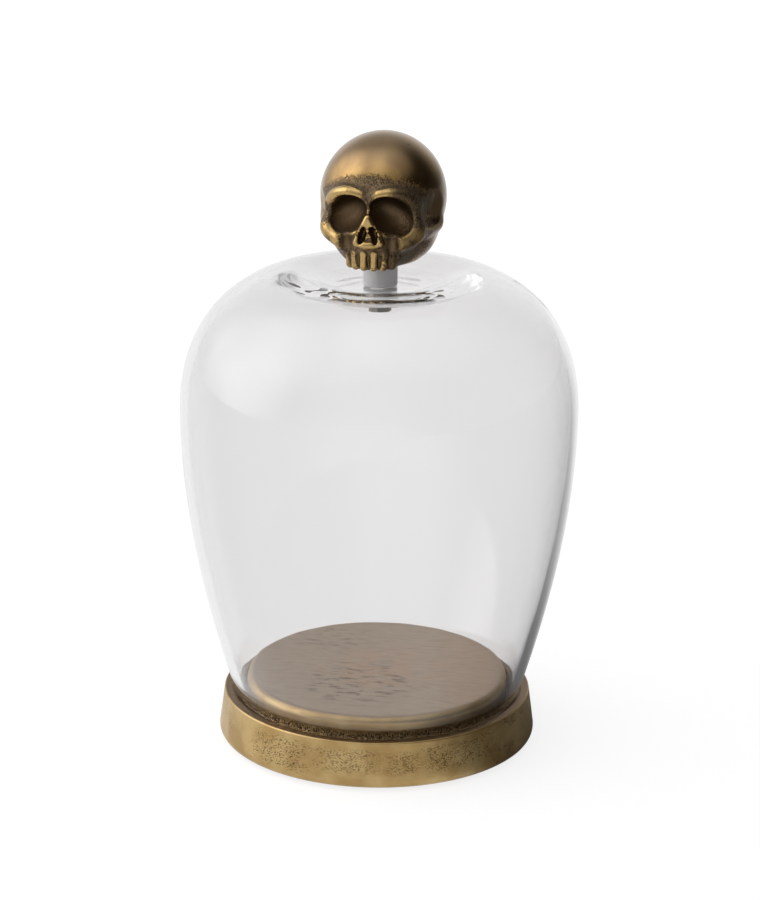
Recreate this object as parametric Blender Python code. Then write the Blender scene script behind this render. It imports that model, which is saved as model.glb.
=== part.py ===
"""Display cloche: a glass bell with a dished crown on a grooved cast base, lifted by a skull finial.

Metres, +Z up. The origin is the middle of the underside, and the skull faces -Y.
"""

import math

import bmesh
import bpy
import numpy as np
from mathutils import Vector
from mathutils.geometry import interpolate_bezier

# Fits
FIT_GAP = 0.0003  # between faces that touch
GROOVE_CLEARANCE = 0.0012  # on each side of the glass foot

# Glass bell
GLASS_WALL = 0.0040
FOOT_RADIUS = 0.0728
FOOT_FLARE = 0.318  # outward run for each unit of rise at the foot
BELLY_RADIUS = 0.0997
BELLY_RISE = 0.1497  # from the foot to the widest ring
CROWN_RADIUS = 0.0470  # ring at the very top, round the dish
CROWN_RISE = 0.2199  # from the foot to the top ring
DISH_DEPTH = 0.0072
DISH_FLOOR_RADIUS = 0.0140
HOLE_DIAMETER = 0.0110

# How far each curve of the bell runs along its end tangent
FOOT_PULL = 0.0380
BELLY_PULL_DOWN = 0.0571
BELLY_PULL_UP = 0.0546
CROWN_PULL_OUT = 0.0130
CROWN_PULL_IN = 0.0110
DISH_PULL = 0.0150

# Cast base
RIM_HEIGHT = 0.0252
RIM_WIDTH = 0.0045
RIM_TAPER = 0.0026  # how much wider the base is at its foot than at its rim
RIM_EDGE = 0.0008
BASE_FOOT_ROUND = 0.0035
GROOVE_DEPTH = 0.0015
PLATEAU_RISE = 0.0095  # from the rim to the plateau
PLATEAU_EDGE = 0.0036
CASTING_WALL = 0.0050
FELT_THICKNESS = 0.0012
FELT_MARGIN = 0.0070  # from the edge of the base to the edge of the felt

# Finial fastening
STUD_DIAMETER = 0.0060
STUD_IN_SKULL = 0.0220
SPACER_DIAMETER = 0.0170
SPACER_HEIGHT = 0.0129
WASHER_DIAMETER = 0.0170
WASHER_THICKNESS = 0.0015
NUT_ACROSS_FLATS = 0.0100
NUT_HEIGHT = 0.0050

# Skull
BROW_WIDTH = 0.0050
EYE_EDGE_WIDTH = 0.0042
CHEEK_WIDTH = 0.0080
ARCH_WIDTH = 0.0062
ARCH_HOLLOW_WIDTH = 0.0052
NOSE_BRIDGE_WIDTH = 0.0030
NOSE_RIM_WIDTH = 0.0040
TOOTH_COUNT = 6
TOOTH_WIDTH = 0.0043
TOOTH_HEIGHT = 0.0090
TOOTH_GAP = 0.0018
TOOTH_ROW_RADIUS = 0.0120
TOOTH_TURN = 0.40  # radians round the jaw from one tooth to the next
SOFT_BLEND = 0.0050
FIRM_BLEND = 0.0028
CRISP_BLEND = 0.0012

# Places on the left half of the skull: across from the middle of the face, back from the stud,
# and up from the seat
CRANIUM = (0.0000, 0.0055, 0.0304)
NAPE = (0.0110, 0.0070, 0.0135)
FACE = (0.0000, -0.0150, 0.0190)
JAW = (0.0000, -0.0155, 0.0070)
JAW_SIDE = (0.0100, -0.0030, 0.0070)
EYE = (0.0112, -0.0300, 0.0278)
TEMPLE = (0.0332, -0.0150, 0.0290)
ARCH_NOTCH = (0.0318, -0.0058, 0.0243)
CHEEK_UNDERCUT = (0.0195, -0.0245, 0.0015)
CHEEK_HOLLOW = (0.0115, -0.0310, 0.0130)
NOSTRIL = (0.0026, -0.0315, 0.0186)
BROW_LINE = ((0.0005, -0.0276, 0.0345), (0.0055, -0.0289, 0.0378), (0.0120, -0.0276, 0.0389),
             (0.0180, -0.0240, 0.0360), (0.0212, -0.0203, 0.0305))
EYE_EDGE_LINE = (BROW_LINE[-1], (0.0218, -0.0195, 0.0240))
CHEEK_LINE = ((0.0215, -0.0198, 0.0225), (0.0203, -0.0215, 0.0175), (0.0145, -0.0245, 0.0135))
ARCH_LINE = ((0.0215, -0.0180, 0.0185), (0.0268, 0.0020, 0.0190))
ARCH_HOLLOW_LINE = ((0.0270, -0.0125, 0.0245), ARCH_NOTCH)
NOSE_LINE = ((0.0000, -0.0310, 0.0295), (0.0054, -0.0292, 0.0143), (0.0010, -0.0302, 0.0133))
BRIDGE_LINE = ((0.0000, -0.0272, 0.0350), NOSE_LINE[0])
HEART = (0.0, -0.0032, EYE[2])  # deep behind the face, in sight of its whole surface

# Sizes of the forms at those places, and their slants
CRANIUM_SIZE = (0.0620, 0.0700, 0.0640)
NAPE_SIZE = (0.0300, 0.0430, 0.0310)
FACE_SIZE = (0.0420, 0.0286, 0.0360)
JAW_SIZE = (0.0270, 0.0246, 0.0220)
JAW_SIDE_SIZE = (0.0160, 0.0220, 0.0180)
EYE_SIZE = (0.0218, 0.0260, 0.0194)
TEMPLE_SIZE = (0.0150, 0.0240, 0.0150)
ARCH_NOTCH_SIZE = (0.0064, 0.0052, 0.0092)
CHEEK_UNDERCUT_SIZE = (0.0120, 0.0160, 0.0160)
CHEEK_HOLLOW_SIZE = (0.0072, 0.0120, 0.0130)
NOSTRIL_SIZE = (0.0040, 0.0120, 0.0090)
EYE_DROOP = 0.16  # how far an eye socket sinks for each unit outward
NOSTRIL_LEAN = 0.24  # how far a nostril leans inward for each unit of rise

# Facets
ROUND_STEPS = 48
SMALL_STEPS = 24
CURVE_STEPS = 8
EDGE_STEPS = 4
SKULL_SUBDIVISIONS = 6
SKULL_FACETS_KEPT = 0.28
MARCH_STEP = 0.0004
SLOPE_STEP = 0.00005
EVENING_ROUNDS = 5
MERGE_DISTANCE = 0.000005

# Heights, stacked from the floor up
BASE_BOTTOM = FELT_THICKNESS + FIT_GAP
GROOVE_FLOOR = RIM_HEIGHT - GROOVE_DEPTH
PLATEAU_TOP = RIM_HEIGHT + PLATEAU_RISE
GLASS_FOOT = GROOVE_FLOOR + FIT_GAP
BELLY = GLASS_FOOT + BELLY_RISE
CROWN = GLASS_FOOT + CROWN_RISE
DISH_FLOOR = CROWN - DISH_DEPTH
DISH_UNDERSIDE = DISH_FLOOR - GLASS_WALL
SPACER_BOTTOM = DISH_FLOOR + FIT_GAP
SKULL_SEAT = SPACER_BOTTOM + SPACER_HEIGHT + FIT_GAP
WASHER_TOP = DISH_UNDERSIDE - FIT_GAP
WASHER_BOTTOM = WASHER_TOP - WASHER_THICKNESS
NUT_TOP = WASHER_BOTTOM - FIT_GAP
NUT_BOTTOM = NUT_TOP - NUT_HEIGHT
STUD_TOP = SKULL_SEAT + STUD_IN_SKULL

# Radii that follow from their neighbours
FOOT_INNER_RADIUS = FOOT_RADIUS - GLASS_WALL * math.hypot(1.0, FOOT_FLARE)
PLATEAU_RADIUS = FOOT_INNER_RADIUS - GROOVE_CLEARANCE
GROOVE_RADIUS = FOOT_RADIUS + GROOVE_CLEARANCE
RIM_RADIUS = GROOVE_RADIUS + RIM_WIDTH
BASE_RADIUS = RIM_RADIUS + RIM_TAPER
STUD_RADIUS = STUD_DIAMETER / 2
STUD_HOLE_RADIUS = STUD_RADIUS + FIT_GAP
HOLE_RADIUS = HOLE_DIAMETER / 2


def clear_scene():
    for item in list(bpy.data.objects):
        bpy.data.objects.remove(item, do_unlink=True)


def material(name, colour, roughness, metallic=0.0, transmission=0.0):
    made = bpy.data.materials.new(name)
    made.use_nodes = True
    shader = made.node_tree.nodes["Principled BSDF"]
    shader.inputs["Base Color"].default_value = (*colour, 1.0)
    shader.inputs["Roughness"].default_value = roughness
    shader.inputs["Metallic"].default_value = metallic
    shader.inputs["Transmission Weight"].default_value = transmission
    return made


def pivot(name, height, carrier=None):
    """An empty on the upright axis, which carries the pieces of one moving body."""
    empty = bpy.data.objects.new(name, None)
    bpy.context.collection.objects.link(empty)
    empty["height"] = height
    empty.parent = carrier
    empty.location.z = height - (carrier["height"] if carrier else 0.0)
    return empty


def finished(name, bm, look, carrier=None, sharp_angle=35.0):
    """Turns a bmesh, modelled about its carrier, into a shaded object."""
    bmesh.ops.recalc_face_normals(bm, faces=bm.faces)
    mesh = bpy.data.meshes.new(name)
    bm.to_mesh(mesh)
    bm.free()
    mesh.shade_smooth()
    mesh.set_sharp_from_angle(angle=math.radians(sharp_angle))
    mesh.materials.append(look)
    made = bpy.data.objects.new(name, mesh)
    bpy.context.collection.objects.link(made)
    made.parent = carrier
    return made


def bezier(start, start_handle, end_handle, end, steps=CURVE_STEPS):
    points = [Vector((radius, 0.0, height)) for radius, height in (start, start_handle, end_handle, end)]
    return [(point.x, point.z) for point in interpolate_bezier(*points, steps + 1)]


def arc(centre, radius, first_angle, last_angle, steps=EDGE_STEPS):
    angles = [math.radians(first_angle + (last_angle - first_angle) * i / steps) for i in range(steps + 1)]
    return [(centre[0] + radius * math.cos(a), centre[1] + radius * math.sin(a)) for a in angles]


def turned(name, outline, steps, look, carrier=None):
    """Spins an outline of (radius, height) points once about the upright axis."""
    lift = carrier["height"] if carrier else 0.0
    bm = bmesh.new()
    verts = [bm.verts.new((radius, 0.0, height - lift)) for radius, height in outline]
    edges = [bm.edges.new(pair) for pair in zip(verts, verts[1:])]
    if outline[0][0] > 0.0 and outline[-1][0] > 0.0:
        edges.append(bm.edges.new((verts[-1], verts[0])))
    bmesh.ops.spin(bm, geom=verts + edges, axis=(0, 0, 1), cent=(0, 0, 0),
                   angle=math.tau, steps=steps, use_merge=True)
    bmesh.ops.remove_doubles(bm, verts=bm.verts, dist=MERGE_DISTANCE)
    return finished(name, bm, look, carrier)


def ring(name, inner_radius, outer_radius, bottom, top, steps, look, carrier=None):
    outline = [(inner_radius, bottom), (outer_radius, bottom), (outer_radius, top), (inner_radius, top)]
    return turned(name, outline, steps, look, carrier)


def disc(name, radius, bottom, top, steps, look, carrier=None):
    return turned(name, [(0.0, bottom), (radius, bottom), (radius, top), (0.0, top)], steps, look, carrier)


def drill(piece, radius, bottom, top, carrier):
    """Cuts an upright round hole on the axis."""
    cutter = disc(piece.name + "_cutter", radius, bottom, top, SMALL_STEPS, piece.data.materials[0], carrier)
    cutter.hide_render = True
    cutter.display_type = "WIRE"
    cut = piece.modifiers.new("hole", "BOOLEAN")
    cut.operation = "DIFFERENCE"
    cut.object = cutter


def bell_outside():
    """Outer face of the bell from the foot, over the crown and down into the dish, to the hole."""
    foot = (FOOT_RADIUS, GLASS_FOOT)
    belly = (BELLY_RADIUS, BELLY)
    crown = (CROWN_RADIUS, CROWN)
    floor = (DISH_FLOOR_RADIUS, DISH_FLOOR)
    side = bezier(foot, (FOOT_RADIUS + FOOT_FLARE * FOOT_PULL, GLASS_FOOT + FOOT_PULL),
                  (BELLY_RADIUS, BELLY - BELLY_PULL_DOWN), belly)
    shoulder = bezier(belly, (BELLY_RADIUS, BELLY + BELLY_PULL_UP),
                      (CROWN_RADIUS + CROWN_PULL_OUT, CROWN), crown, CURVE_STEPS + EDGE_STEPS)
    dish = bezier(crown, (CROWN_RADIUS - CROWN_PULL_IN, CROWN),
                  (DISH_FLOOR_RADIUS + DISH_PULL, DISH_FLOOR), floor)
    return side + shoulder[1:] + dish[1:] + [(HOLE_RADIUS, DISH_FLOOR)]


def inset_line(line, distance):
    """The same line moved square to itself, to the left of the way it runs."""
    moved = []
    for i, (radius, height) in enumerate(line):
        before = line[max(i - 1, 0)]
        after = line[min(i + 1, len(line) - 1)]
        run = Vector((after[0] - before[0], after[1] - before[1])).normalized()
        moved.append((radius - run.y * distance, height + run.x * distance))
    return moved


def glass_dome(look, carrier):
    outside = bell_outside()
    inside = inset_line(outside, GLASS_WALL)
    inside[0] = (FOOT_INNER_RADIUS, GLASS_FOOT)
    inside[-1] = (HOLE_RADIUS, DISH_UNDERSIDE)
    return turned("glass_dome", outside + inside[::-1], ROUND_STEPS, look, carrier)


def base_casting(look):
    """Rim, groove and plateau above, and one even wall round a hollow below."""
    plateau = arc((PLATEAU_RADIUS - PLATEAU_EDGE, PLATEAU_TOP - PLATEAU_EDGE), PLATEAU_EDGE, 90, 0)
    groove = [(PLATEAU_RADIUS, GROOVE_FLOOR), (GROOVE_RADIUS, GROOVE_FLOOR), (GROOVE_RADIUS, RIM_HEIGHT)]
    rim = arc((RIM_RADIUS - RIM_EDGE, RIM_HEIGHT - RIM_EDGE), RIM_EDGE, 90, 0)
    foot = arc((BASE_RADIUS - BASE_FOOT_ROUND, BASE_BOTTOM + BASE_FOOT_ROUND), BASE_FOOT_ROUND, 0, -90)
    hollow_radius = PLATEAU_RADIUS - CASTING_WALL
    hollow_top = PLATEAU_TOP - CASTING_WALL
    hollow = [(hollow_radius, BASE_BOTTOM), (hollow_radius, hollow_top), (0.0, hollow_top)]
    return turned("base_casting", [(0.0, PLATEAU_TOP)] + plateau + groove + rim + foot + hollow,
                  ROUND_STEPS, look)


def hex_nut(look, carrier):
    bm = bmesh.new()
    corner_radius = NUT_ACROSS_FLATS / math.sqrt(3.0)
    bmesh.ops.create_cone(bm, cap_ends=True, segments=6, radius1=corner_radius, radius2=corner_radius,
                          depth=NUT_HEIGHT)
    bmesh.ops.translate(bm, verts=bm.verts, vec=(0.0, 0.0, NUT_BOTTOM + NUT_HEIGHT / 2 - carrier["height"]))
    nut = finished("hex_nut", bm, look, carrier)
    drill(nut, STUD_HOLE_RADIUS, NUT_BOTTOM - NUT_HEIGHT, NUT_TOP + NUT_HEIGHT, carrier)
    return nut


# Soft forms for the skull. Each takes an array of points and is negative inside.
def egg(points, place, size):
    half = np.array(size) / 2
    local = points - place
    near = np.linalg.norm(local / half, axis=1)
    slope = np.linalg.norm(local / half**2, axis=1)
    return near * (near - 1.0) / np.maximum(slope, 1e-9)


def bar(points, start, end, width):
    """A round bar with round ends."""
    run = np.subtract(end, start)
    along = np.clip((points - start) @ run / (run @ run), 0.0, 1.0)
    return np.linalg.norm(points - start - along[:, None] * run, axis=1) - width / 2


def upright(points, turn, radius, bottom, top, width):
    """A round upright bar on the curve of the tooth row, a turn away from the middle of the face."""
    foot = np.array((radius * math.sin(turn), JAW[1] - radius * math.cos(turn), bottom))
    return bar(points, foot, foot + (0.0, 0.0, top - bottom), width)


def join(first, second, blend):
    mix = np.clip(0.5 + 0.5 * (second - first) / blend, 0.0, 1.0)
    return second + (first - second) * mix - blend * mix * (1.0 - mix)


def carve(first, second, blend):
    return -join(-first, second, blend)


def rope(points, line, width):
    """Round bars end to end along a line."""
    form = bar(points, line[0], line[1], width)
    for start, end in zip(line[1:], line[2:]):
        form = join(form, bar(points, start, end, width), CRISP_BLEND)
    return form


def skull_form(points):
    """The skull as one blended form about its seat, mirrored left to right."""
    across, along, up = points.T
    half = np.column_stack([np.abs(across), along, up])
    eased = np.column_stack([np.hypot(across, CRISP_BLEND), along, up])

    form = egg(half, CRANIUM, CRANIUM_SIZE)
    for place, size in ((NAPE, NAPE_SIZE), (FACE, FACE_SIZE), (JAW, JAW_SIZE), (JAW_SIDE, JAW_SIDE_SIZE)):
        form = join(form, egg(half, place, size), SOFT_BLEND)
    form = join(form, rope(eased, BROW_LINE, BROW_WIDTH), SOFT_BLEND)
    form = join(form, rope(half, EYE_EDGE_LINE, EYE_EDGE_WIDTH), FIRM_BLEND)
    form = join(form, rope(half, CHEEK_LINE, CHEEK_WIDTH), FIRM_BLEND)
    form = join(form, rope(half, ARCH_LINE, ARCH_WIDTH), SOFT_BLEND)

    drooped = half + np.outer(EYE_DROOP * (half[:, 0] - EYE[0]), (0.0, 0.0, 1.0))
    form = carve(form, egg(drooped, EYE, EYE_SIZE), CRISP_BLEND)
    form = carve(form, egg(half, TEMPLE, TEMPLE_SIZE), FIRM_BLEND)
    form = carve(form, rope(half, ARCH_HOLLOW_LINE, ARCH_HOLLOW_WIDTH), FIRM_BLEND)
    form = carve(form, egg(half, ARCH_NOTCH, ARCH_NOTCH_SIZE), CRISP_BLEND)
    form = carve(form, egg(half, CHEEK_UNDERCUT, CHEEK_UNDERCUT_SIZE), SOFT_BLEND)
    form = carve(form, egg(half, CHEEK_HOLLOW, CHEEK_HOLLOW_SIZE), FIRM_BLEND)

    form = join(form, rope(eased, BRIDGE_LINE, NOSE_BRIDGE_WIDTH), FIRM_BLEND)
    form = join(form, rope(eased, NOSE_LINE, NOSE_RIM_WIDTH), CRISP_BLEND)
    leaning = half + np.outer(NOSTRIL_LEAN * (up - NOSTRIL[2]), (1.0, 0.0, 0.0))
    form = carve(form, egg(leaning, NOSTRIL, NOSTRIL_SIZE), CRISP_BLEND / 2)

    for i in range(TOOTH_COUNT // 2):
        tooth = upright(half, (i + 0.5) * TOOTH_TURN, TOOTH_ROW_RADIUS, TOOTH_WIDTH / 2, TOOTH_HEIGHT,
                        TOOTH_WIDTH)
        form = join(form, tooth, CRISP_BLEND)
    for i in range(TOOTH_COUNT // 2 + 1):
        gap = upright(half, i * TOOTH_TURN, TOOTH_ROW_RADIUS + TOOTH_GAP, 0.0, TOOTH_HEIGHT - TOOTH_WIDTH / 2,
                      TOOTH_GAP)
        form = carve(form, gap, CRISP_BLEND)
    return np.maximum(form, -up)


def settled(points):
    """Each point moved straight onto the skull's surface, down the form's own slope."""
    value = skull_form(points)
    slope = np.column_stack([
        (skull_form(points + shift) - skull_form(points - shift)) / (2 * SLOPE_STEP)
        for shift in np.eye(3) * SLOPE_STEP
    ])
    return points - slope * (value / np.maximum((slope**2).sum(axis=1), 0.2))[:, None]


def skull_finial(look, carrier):
    """A ball whose points are drawn in, from outside, onto the skull's form, and then evened out.

    The heart that they are drawn towards lies nearer the face, so the face has the finest facets.
    """
    heart = np.array(HEART)
    bm = bmesh.new()
    bmesh.ops.create_icosphere(bm, subdivisions=SKULL_SUBDIVISIONS, radius=1.0)
    rays = np.array([vert.co.normalized() for vert in bm.verts])

    distance = np.full(len(rays), max(CRANIUM_SIZE) + SOFT_BLEND)
    outside = np.ones(len(rays), bool)
    while outside.any():
        distance[outside] -= MARCH_STEP
        outside[outside] = skull_form(heart + rays[outside] * distance[outside, None]) > 0.0

    places = heart + rays * distance[:, None]
    for _ in range(EVENING_ROUNDS):
        for vert, place in zip(bm.verts, settled(places)):
            vert.co = place
        bmesh.ops.smooth_vert(bm, verts=bm.verts, factor=0.5,
                              use_axis_x=True, use_axis_y=True, use_axis_z=True)
        places = np.array([vert.co for vert in bm.verts])

    lift = SKULL_SEAT - carrier["height"]
    for vert, place in zip(bm.verts, settled(places)):
        vert.co = (place[0], place[1], max(place[2], 0.0) + lift)
    skull = finished("skull_finial", bm, look, carrier, sharp_angle=60.0)
    thinned = skull.modifiers.new("fewer facets", "DECIMATE")
    thinned.ratio = SKULL_FACETS_KEPT
    drill(skull, STUD_HOLE_RADIUS, SKULL_SEAT - STUD_RADIUS, STUD_TOP + FIT_GAP, carrier)
    return skull


def main():
    clear_scene()
    brass = material("aged_brass", (0.36, 0.23, 0.09), 0.38, metallic=1.0)
    glass = material("clear_glass", (0.97, 0.98, 0.98), 0.02, transmission=1.0)
    silicone = material("clear_silicone", (0.55, 0.54, 0.52), 0.35, transmission=0.5)
    nylon = material("white_nylon", (0.75, 0.74, 0.70), 0.45)
    steel = material("dull_steel", (0.30, 0.28, 0.26), 0.42, metallic=1.0)
    felt = material("black_felt", (0.03, 0.03, 0.03), 0.95)

    dome_pivot = pivot("dome_lift_pivot", GLASS_FOOT)
    finial_pivot = pivot("finial_turn_pivot", SKULL_SEAT, dome_pivot)
    nut_pivot = pivot("nut_drop_pivot", WASHER_TOP, dome_pivot)

    disc("felt_pad", BASE_RADIUS - FELT_MARGIN, 0.0, FELT_THICKNESS, ROUND_STEPS, felt)
    base_casting(brass)
    glass_dome(glass, dome_pivot)
    ring("hole_bush", STUD_HOLE_RADIUS, HOLE_RADIUS - FIT_GAP, DISH_UNDERSIDE, DISH_FLOOR,
         SMALL_STEPS, nylon, dome_pivot)
    ring("spacer_sleeve", STUD_HOLE_RADIUS, SPACER_DIAMETER / 2, SPACER_BOTTOM,
         SPACER_BOTTOM + SPACER_HEIGHT, SMALL_STEPS, silicone, dome_pivot)
    skull_finial(brass, finial_pivot)
    disc("threaded_stud", STUD_RADIUS, NUT_BOTTOM, STUD_TOP, SMALL_STEPS, steel, finial_pivot)
    ring("lower_washer", STUD_HOLE_RADIUS, WASHER_DIAMETER / 2, WASHER_BOTTOM, WASHER_TOP,
         SMALL_STEPS, silicone, nut_pivot)
    hex_nut(steel, nut_pivot)


main()
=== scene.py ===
# %% [markdown]
# # A glass bell with a skull finial
# This lesson dresses a display cloche: a blown glass bell that stands in the groove of a cast brass
# base and is lifted by a small cast skull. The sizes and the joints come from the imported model, which
# loads as a fixed frame. Each piece below is modelled again with finer curves, in the same place, and
# rides on the body that moves it.

# %% Load the frame
import math

import bmesh
import bpy
import numpy as np
from mathutils import Matrix, Vector, noise
from mathutils.geometry import interpolate_bezier


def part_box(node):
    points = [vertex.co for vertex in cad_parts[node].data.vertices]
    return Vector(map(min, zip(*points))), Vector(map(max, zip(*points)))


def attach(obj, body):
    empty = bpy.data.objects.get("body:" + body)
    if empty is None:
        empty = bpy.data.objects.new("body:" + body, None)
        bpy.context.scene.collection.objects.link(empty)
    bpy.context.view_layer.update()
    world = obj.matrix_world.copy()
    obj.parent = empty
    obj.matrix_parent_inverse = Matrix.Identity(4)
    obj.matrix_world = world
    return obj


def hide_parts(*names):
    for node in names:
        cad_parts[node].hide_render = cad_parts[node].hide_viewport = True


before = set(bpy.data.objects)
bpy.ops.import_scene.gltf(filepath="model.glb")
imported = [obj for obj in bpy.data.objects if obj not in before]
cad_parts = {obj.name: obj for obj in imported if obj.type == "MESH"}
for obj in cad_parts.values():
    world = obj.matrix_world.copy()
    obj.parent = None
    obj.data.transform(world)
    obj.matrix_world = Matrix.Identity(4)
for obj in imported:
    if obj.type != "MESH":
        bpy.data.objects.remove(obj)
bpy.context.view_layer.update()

# %% [markdown]
# ## Camera
# The picture was taken from a little above, with a long lens, and the skull looks past the camera's
# left side. The camera stands where the ellipses of the base and the outline of the bell both fit. A
# small roll stands for a camera that wasn't quite level.

# %% Camera
CAMERA_DISTANCE = 1.36
CAMERA_HEIGHT = 0.5780
CAMERA_PITCH = math.radians(17.42)
CAMERA_TURN = math.radians(12.0)
CAMERA_ROLL = math.radians(0.5)
CAMERA_SWING = 0.0004  # radians to the right, which sets the bell a pixel left of the middle
FOCAL_PIXELS = 2833.0
IMAGE_WIDTH = 760

camera_data = bpy.data.cameras.new("camera")
camera_data.sensor_fit = "HORIZONTAL"
camera_data.sensor_width = 36.0
camera_data.lens = FOCAL_PIXELS / IMAGE_WIDTH * camera_data.sensor_width
camera_data.clip_start = 0.01
camera = bpy.data.objects.new("camera", camera_data)
bpy.context.collection.objects.link(camera)
place = Matrix.Translation((CAMERA_DISTANCE * math.sin(CAMERA_TURN), -CAMERA_DISTANCE * math.cos(CAMERA_TURN),
                            CAMERA_HEIGHT))
aim = (Matrix.Rotation(CAMERA_TURN - CAMERA_SWING, 4, "Z") @ Matrix.Rotation(math.pi / 2 - CAMERA_PITCH, 4, "X")
       @ Matrix.Rotation(CAMERA_ROLL, 4, "Z"))
camera.matrix_world = place @ aim
bpy.context.scene.camera = camera
print("lens in mm:", round(camera_data.lens, 1))

# %% [markdown]
# ## Turned pieces
# Most of the pieces are round, so they start as half of a section. An outline of radius and height is
# drawn with arcs and Bezier curves, and the spin operator sweeps it once round the upright axis. One
# helper does the sweep, welds the seam and the poles, and another puts the piece on its body.

# %% Helpers for turned pieces
WELD = 0.000002


def arc(centre, radius, first_angle, last_angle, steps=8):
    angles = [math.radians(first_angle + (last_angle - first_angle) * i / steps) for i in range(steps + 1)]
    return [(centre[0] + radius * math.cos(a), centre[1] + radius * math.sin(a)) for a in angles]


def bezier(start, start_handle, end_handle, end, steps):
    points = [Vector((radius, 0.0, height)) for radius, height in (start, start_handle, end_handle, end)]
    return [(point.x, point.z) for point in interpolate_bezier(*points, steps + 1)]


def filled_in(outline, spacing):
    """The same outline with extra points on its long straight runs."""
    points = [outline[0]]
    for start, end in zip(outline, outline[1:]):
        pieces = max(1, math.ceil(math.dist(start, end) / spacing))
        points += [(start[0] + (end[0] - start[0]) * i / pieces, start[1] + (end[1] - start[1]) * i / pieces)
                   for i in range(1, pieces + 1)]
    return points


def spun(outline, steps):
    """A bmesh of an outline swept once round the upright axis. An outline clear of the axis is closed."""
    bm = bmesh.new()
    verts = [bm.verts.new((radius, 0.0, height)) for radius, height in outline]
    edges = [bm.edges.new(pair) for pair in zip(verts, verts[1:])]
    if outline[0][0] > 0.0 and outline[-1][0] > 0.0:
        edges.append(bm.edges.new((verts[-1], verts[0])))
    bmesh.ops.spin(bm, geom=verts + edges, axis=(0, 0, 1), cent=(0, 0, 0), angle=math.tau, steps=steps,
                   use_merge=True)
    bmesh.ops.remove_doubles(bm, verts=bm.verts, dist=WELD)
    bmesh.ops.recalc_face_normals(bm, faces=bm.faces)
    return bm


def piece_from(name, bm, body, node, sharp_angle=40.0):
    """The finished object, riding on its body in place of a CAD node."""
    mesh = bpy.data.meshes.new(name)
    bm.to_mesh(mesh)
    bm.free()
    mesh.shade_smooth()
    mesh.set_sharp_from_angle(angle=math.radians(sharp_angle))
    piece = bpy.data.objects.new(name, mesh)
    bpy.context.collection.objects.link(piece)
    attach(piece, body)
    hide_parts(node)
    triangles = sum(len(face.vertices) - 2 for face in mesh.polygons)
    print(f"{name}: {triangles} triangles")
    return piece


# %% [markdown]
# ## Cast base
# The base is one heavy casting: a rim, a groove that the glass stands in, and a raised plateau that
# fills the mouth of the bell. Its corners are rubbed round, so every edge of the outline is an arc. A
# sand casting is never quite true, so a slow noise pulls the skin in by up to a quarter of a millimetre.

# %% Cast base
PLATEAU_RADIUS = 0.0674
PLATEAU_RISE = 0.0095  # from the rim to the plateau
PLATEAU_EDGE = 0.0038
GROOVE_RADIUS = 0.0740
GROOVE_DEPTH = 0.0015
GROOVE_FILLET = 0.0008  # at the foot of the plateau
GROOVE_CORNER = 0.0003
RIM_INNER_EDGE = 0.0004
RIM_EDGE = 0.0009
RIM_TAPER = 0.0026  # how much wider the base is at its foot than at its rim
SIDE_LEAN = 5  # degrees
BASE_FOOT_ROUND = 0.0035
HOLLOW_RADIUS = 0.0624
CASTING_WALL = 0.0050
CAST_UNEVENNESS = 0.00022
CAST_PATCH = 0.016  # size of the uneven patches
BASE_SPACING = 0.0016  # between points on the straight runs

base_low, base_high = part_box("base_casting")
BASE_BOTTOM, PLATEAU_TOP, BASE_RADIUS = base_low.z, base_high.z, base_high.x
RIM_TOP = PLATEAU_TOP - PLATEAU_RISE
RIM_RADIUS = BASE_RADIUS - RIM_TAPER
GROOVE_FLOOR = RIM_TOP - GROOVE_DEPTH
HOLLOW_TOP = PLATEAU_TOP - CASTING_WALL

base_outline = [(0.0, PLATEAU_TOP)]
base_outline += arc((PLATEAU_RADIUS - PLATEAU_EDGE, PLATEAU_TOP - PLATEAU_EDGE), PLATEAU_EDGE, 90, 0, 12)
base_outline += arc((PLATEAU_RADIUS + GROOVE_FILLET, GROOVE_FLOOR + GROOVE_FILLET), GROOVE_FILLET, 180, 270)
base_outline += arc((GROOVE_RADIUS - GROOVE_CORNER, GROOVE_FLOOR + GROOVE_CORNER), GROOVE_CORNER, 270, 360, 4)
base_outline += arc((GROOVE_RADIUS + RIM_INNER_EDGE, RIM_TOP - RIM_INNER_EDGE), RIM_INNER_EDGE, 180, 90, 4)
base_outline += arc((RIM_RADIUS - RIM_EDGE, RIM_TOP - RIM_EDGE), RIM_EDGE, 90, SIDE_LEAN)
base_outline += arc((BASE_RADIUS - BASE_FOOT_ROUND, BASE_BOTTOM + BASE_FOOT_ROUND), BASE_FOOT_ROUND, SIDE_LEAN, -90)
base_outline += [(HOLLOW_RADIUS, BASE_BOTTOM), (HOLLOW_RADIUS, HOLLOW_TOP), (0.0, HOLLOW_TOP)]
base_mesh = spun(filled_in(base_outline, BASE_SPACING), 256)
for vert in base_mesh.verts:
    pull = CAST_UNEVENNESS * (0.5 + 0.5 * noise.noise(vert.co / CAST_PATCH))
    radius = math.hypot(vert.co.x, vert.co.y)
    if radius > HOLLOW_RADIUS + 0.001 and vert.co.z > BASE_BOTTOM + 0.0005:
        vert.co.x *= 1.0 - pull / radius
        vert.co.y *= 1.0 - pull / radius
base = piece_from("cast_base", base_mesh, "base", "base_casting")

# %% [markdown]
# ## Glass bell
# The bell is blown into a mould: its side swells from a flared foot to a wide belly, turns over a soft
# shoulder and dips into a shallow dish under the skull. The outside is three Bezier curves end to end,
# and the inside is the same line moved in by the thickness of the wall, so light bends through it as
# through real glass. The wall is a closed shell, because a single sheet would not bend light at all.
# Glass gathers where the dish was pressed, so the wall swells round it, and a slow noise makes the
# press a little uneven: the swelling is what draws the pale streaks at the sides of the dish.

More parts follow.
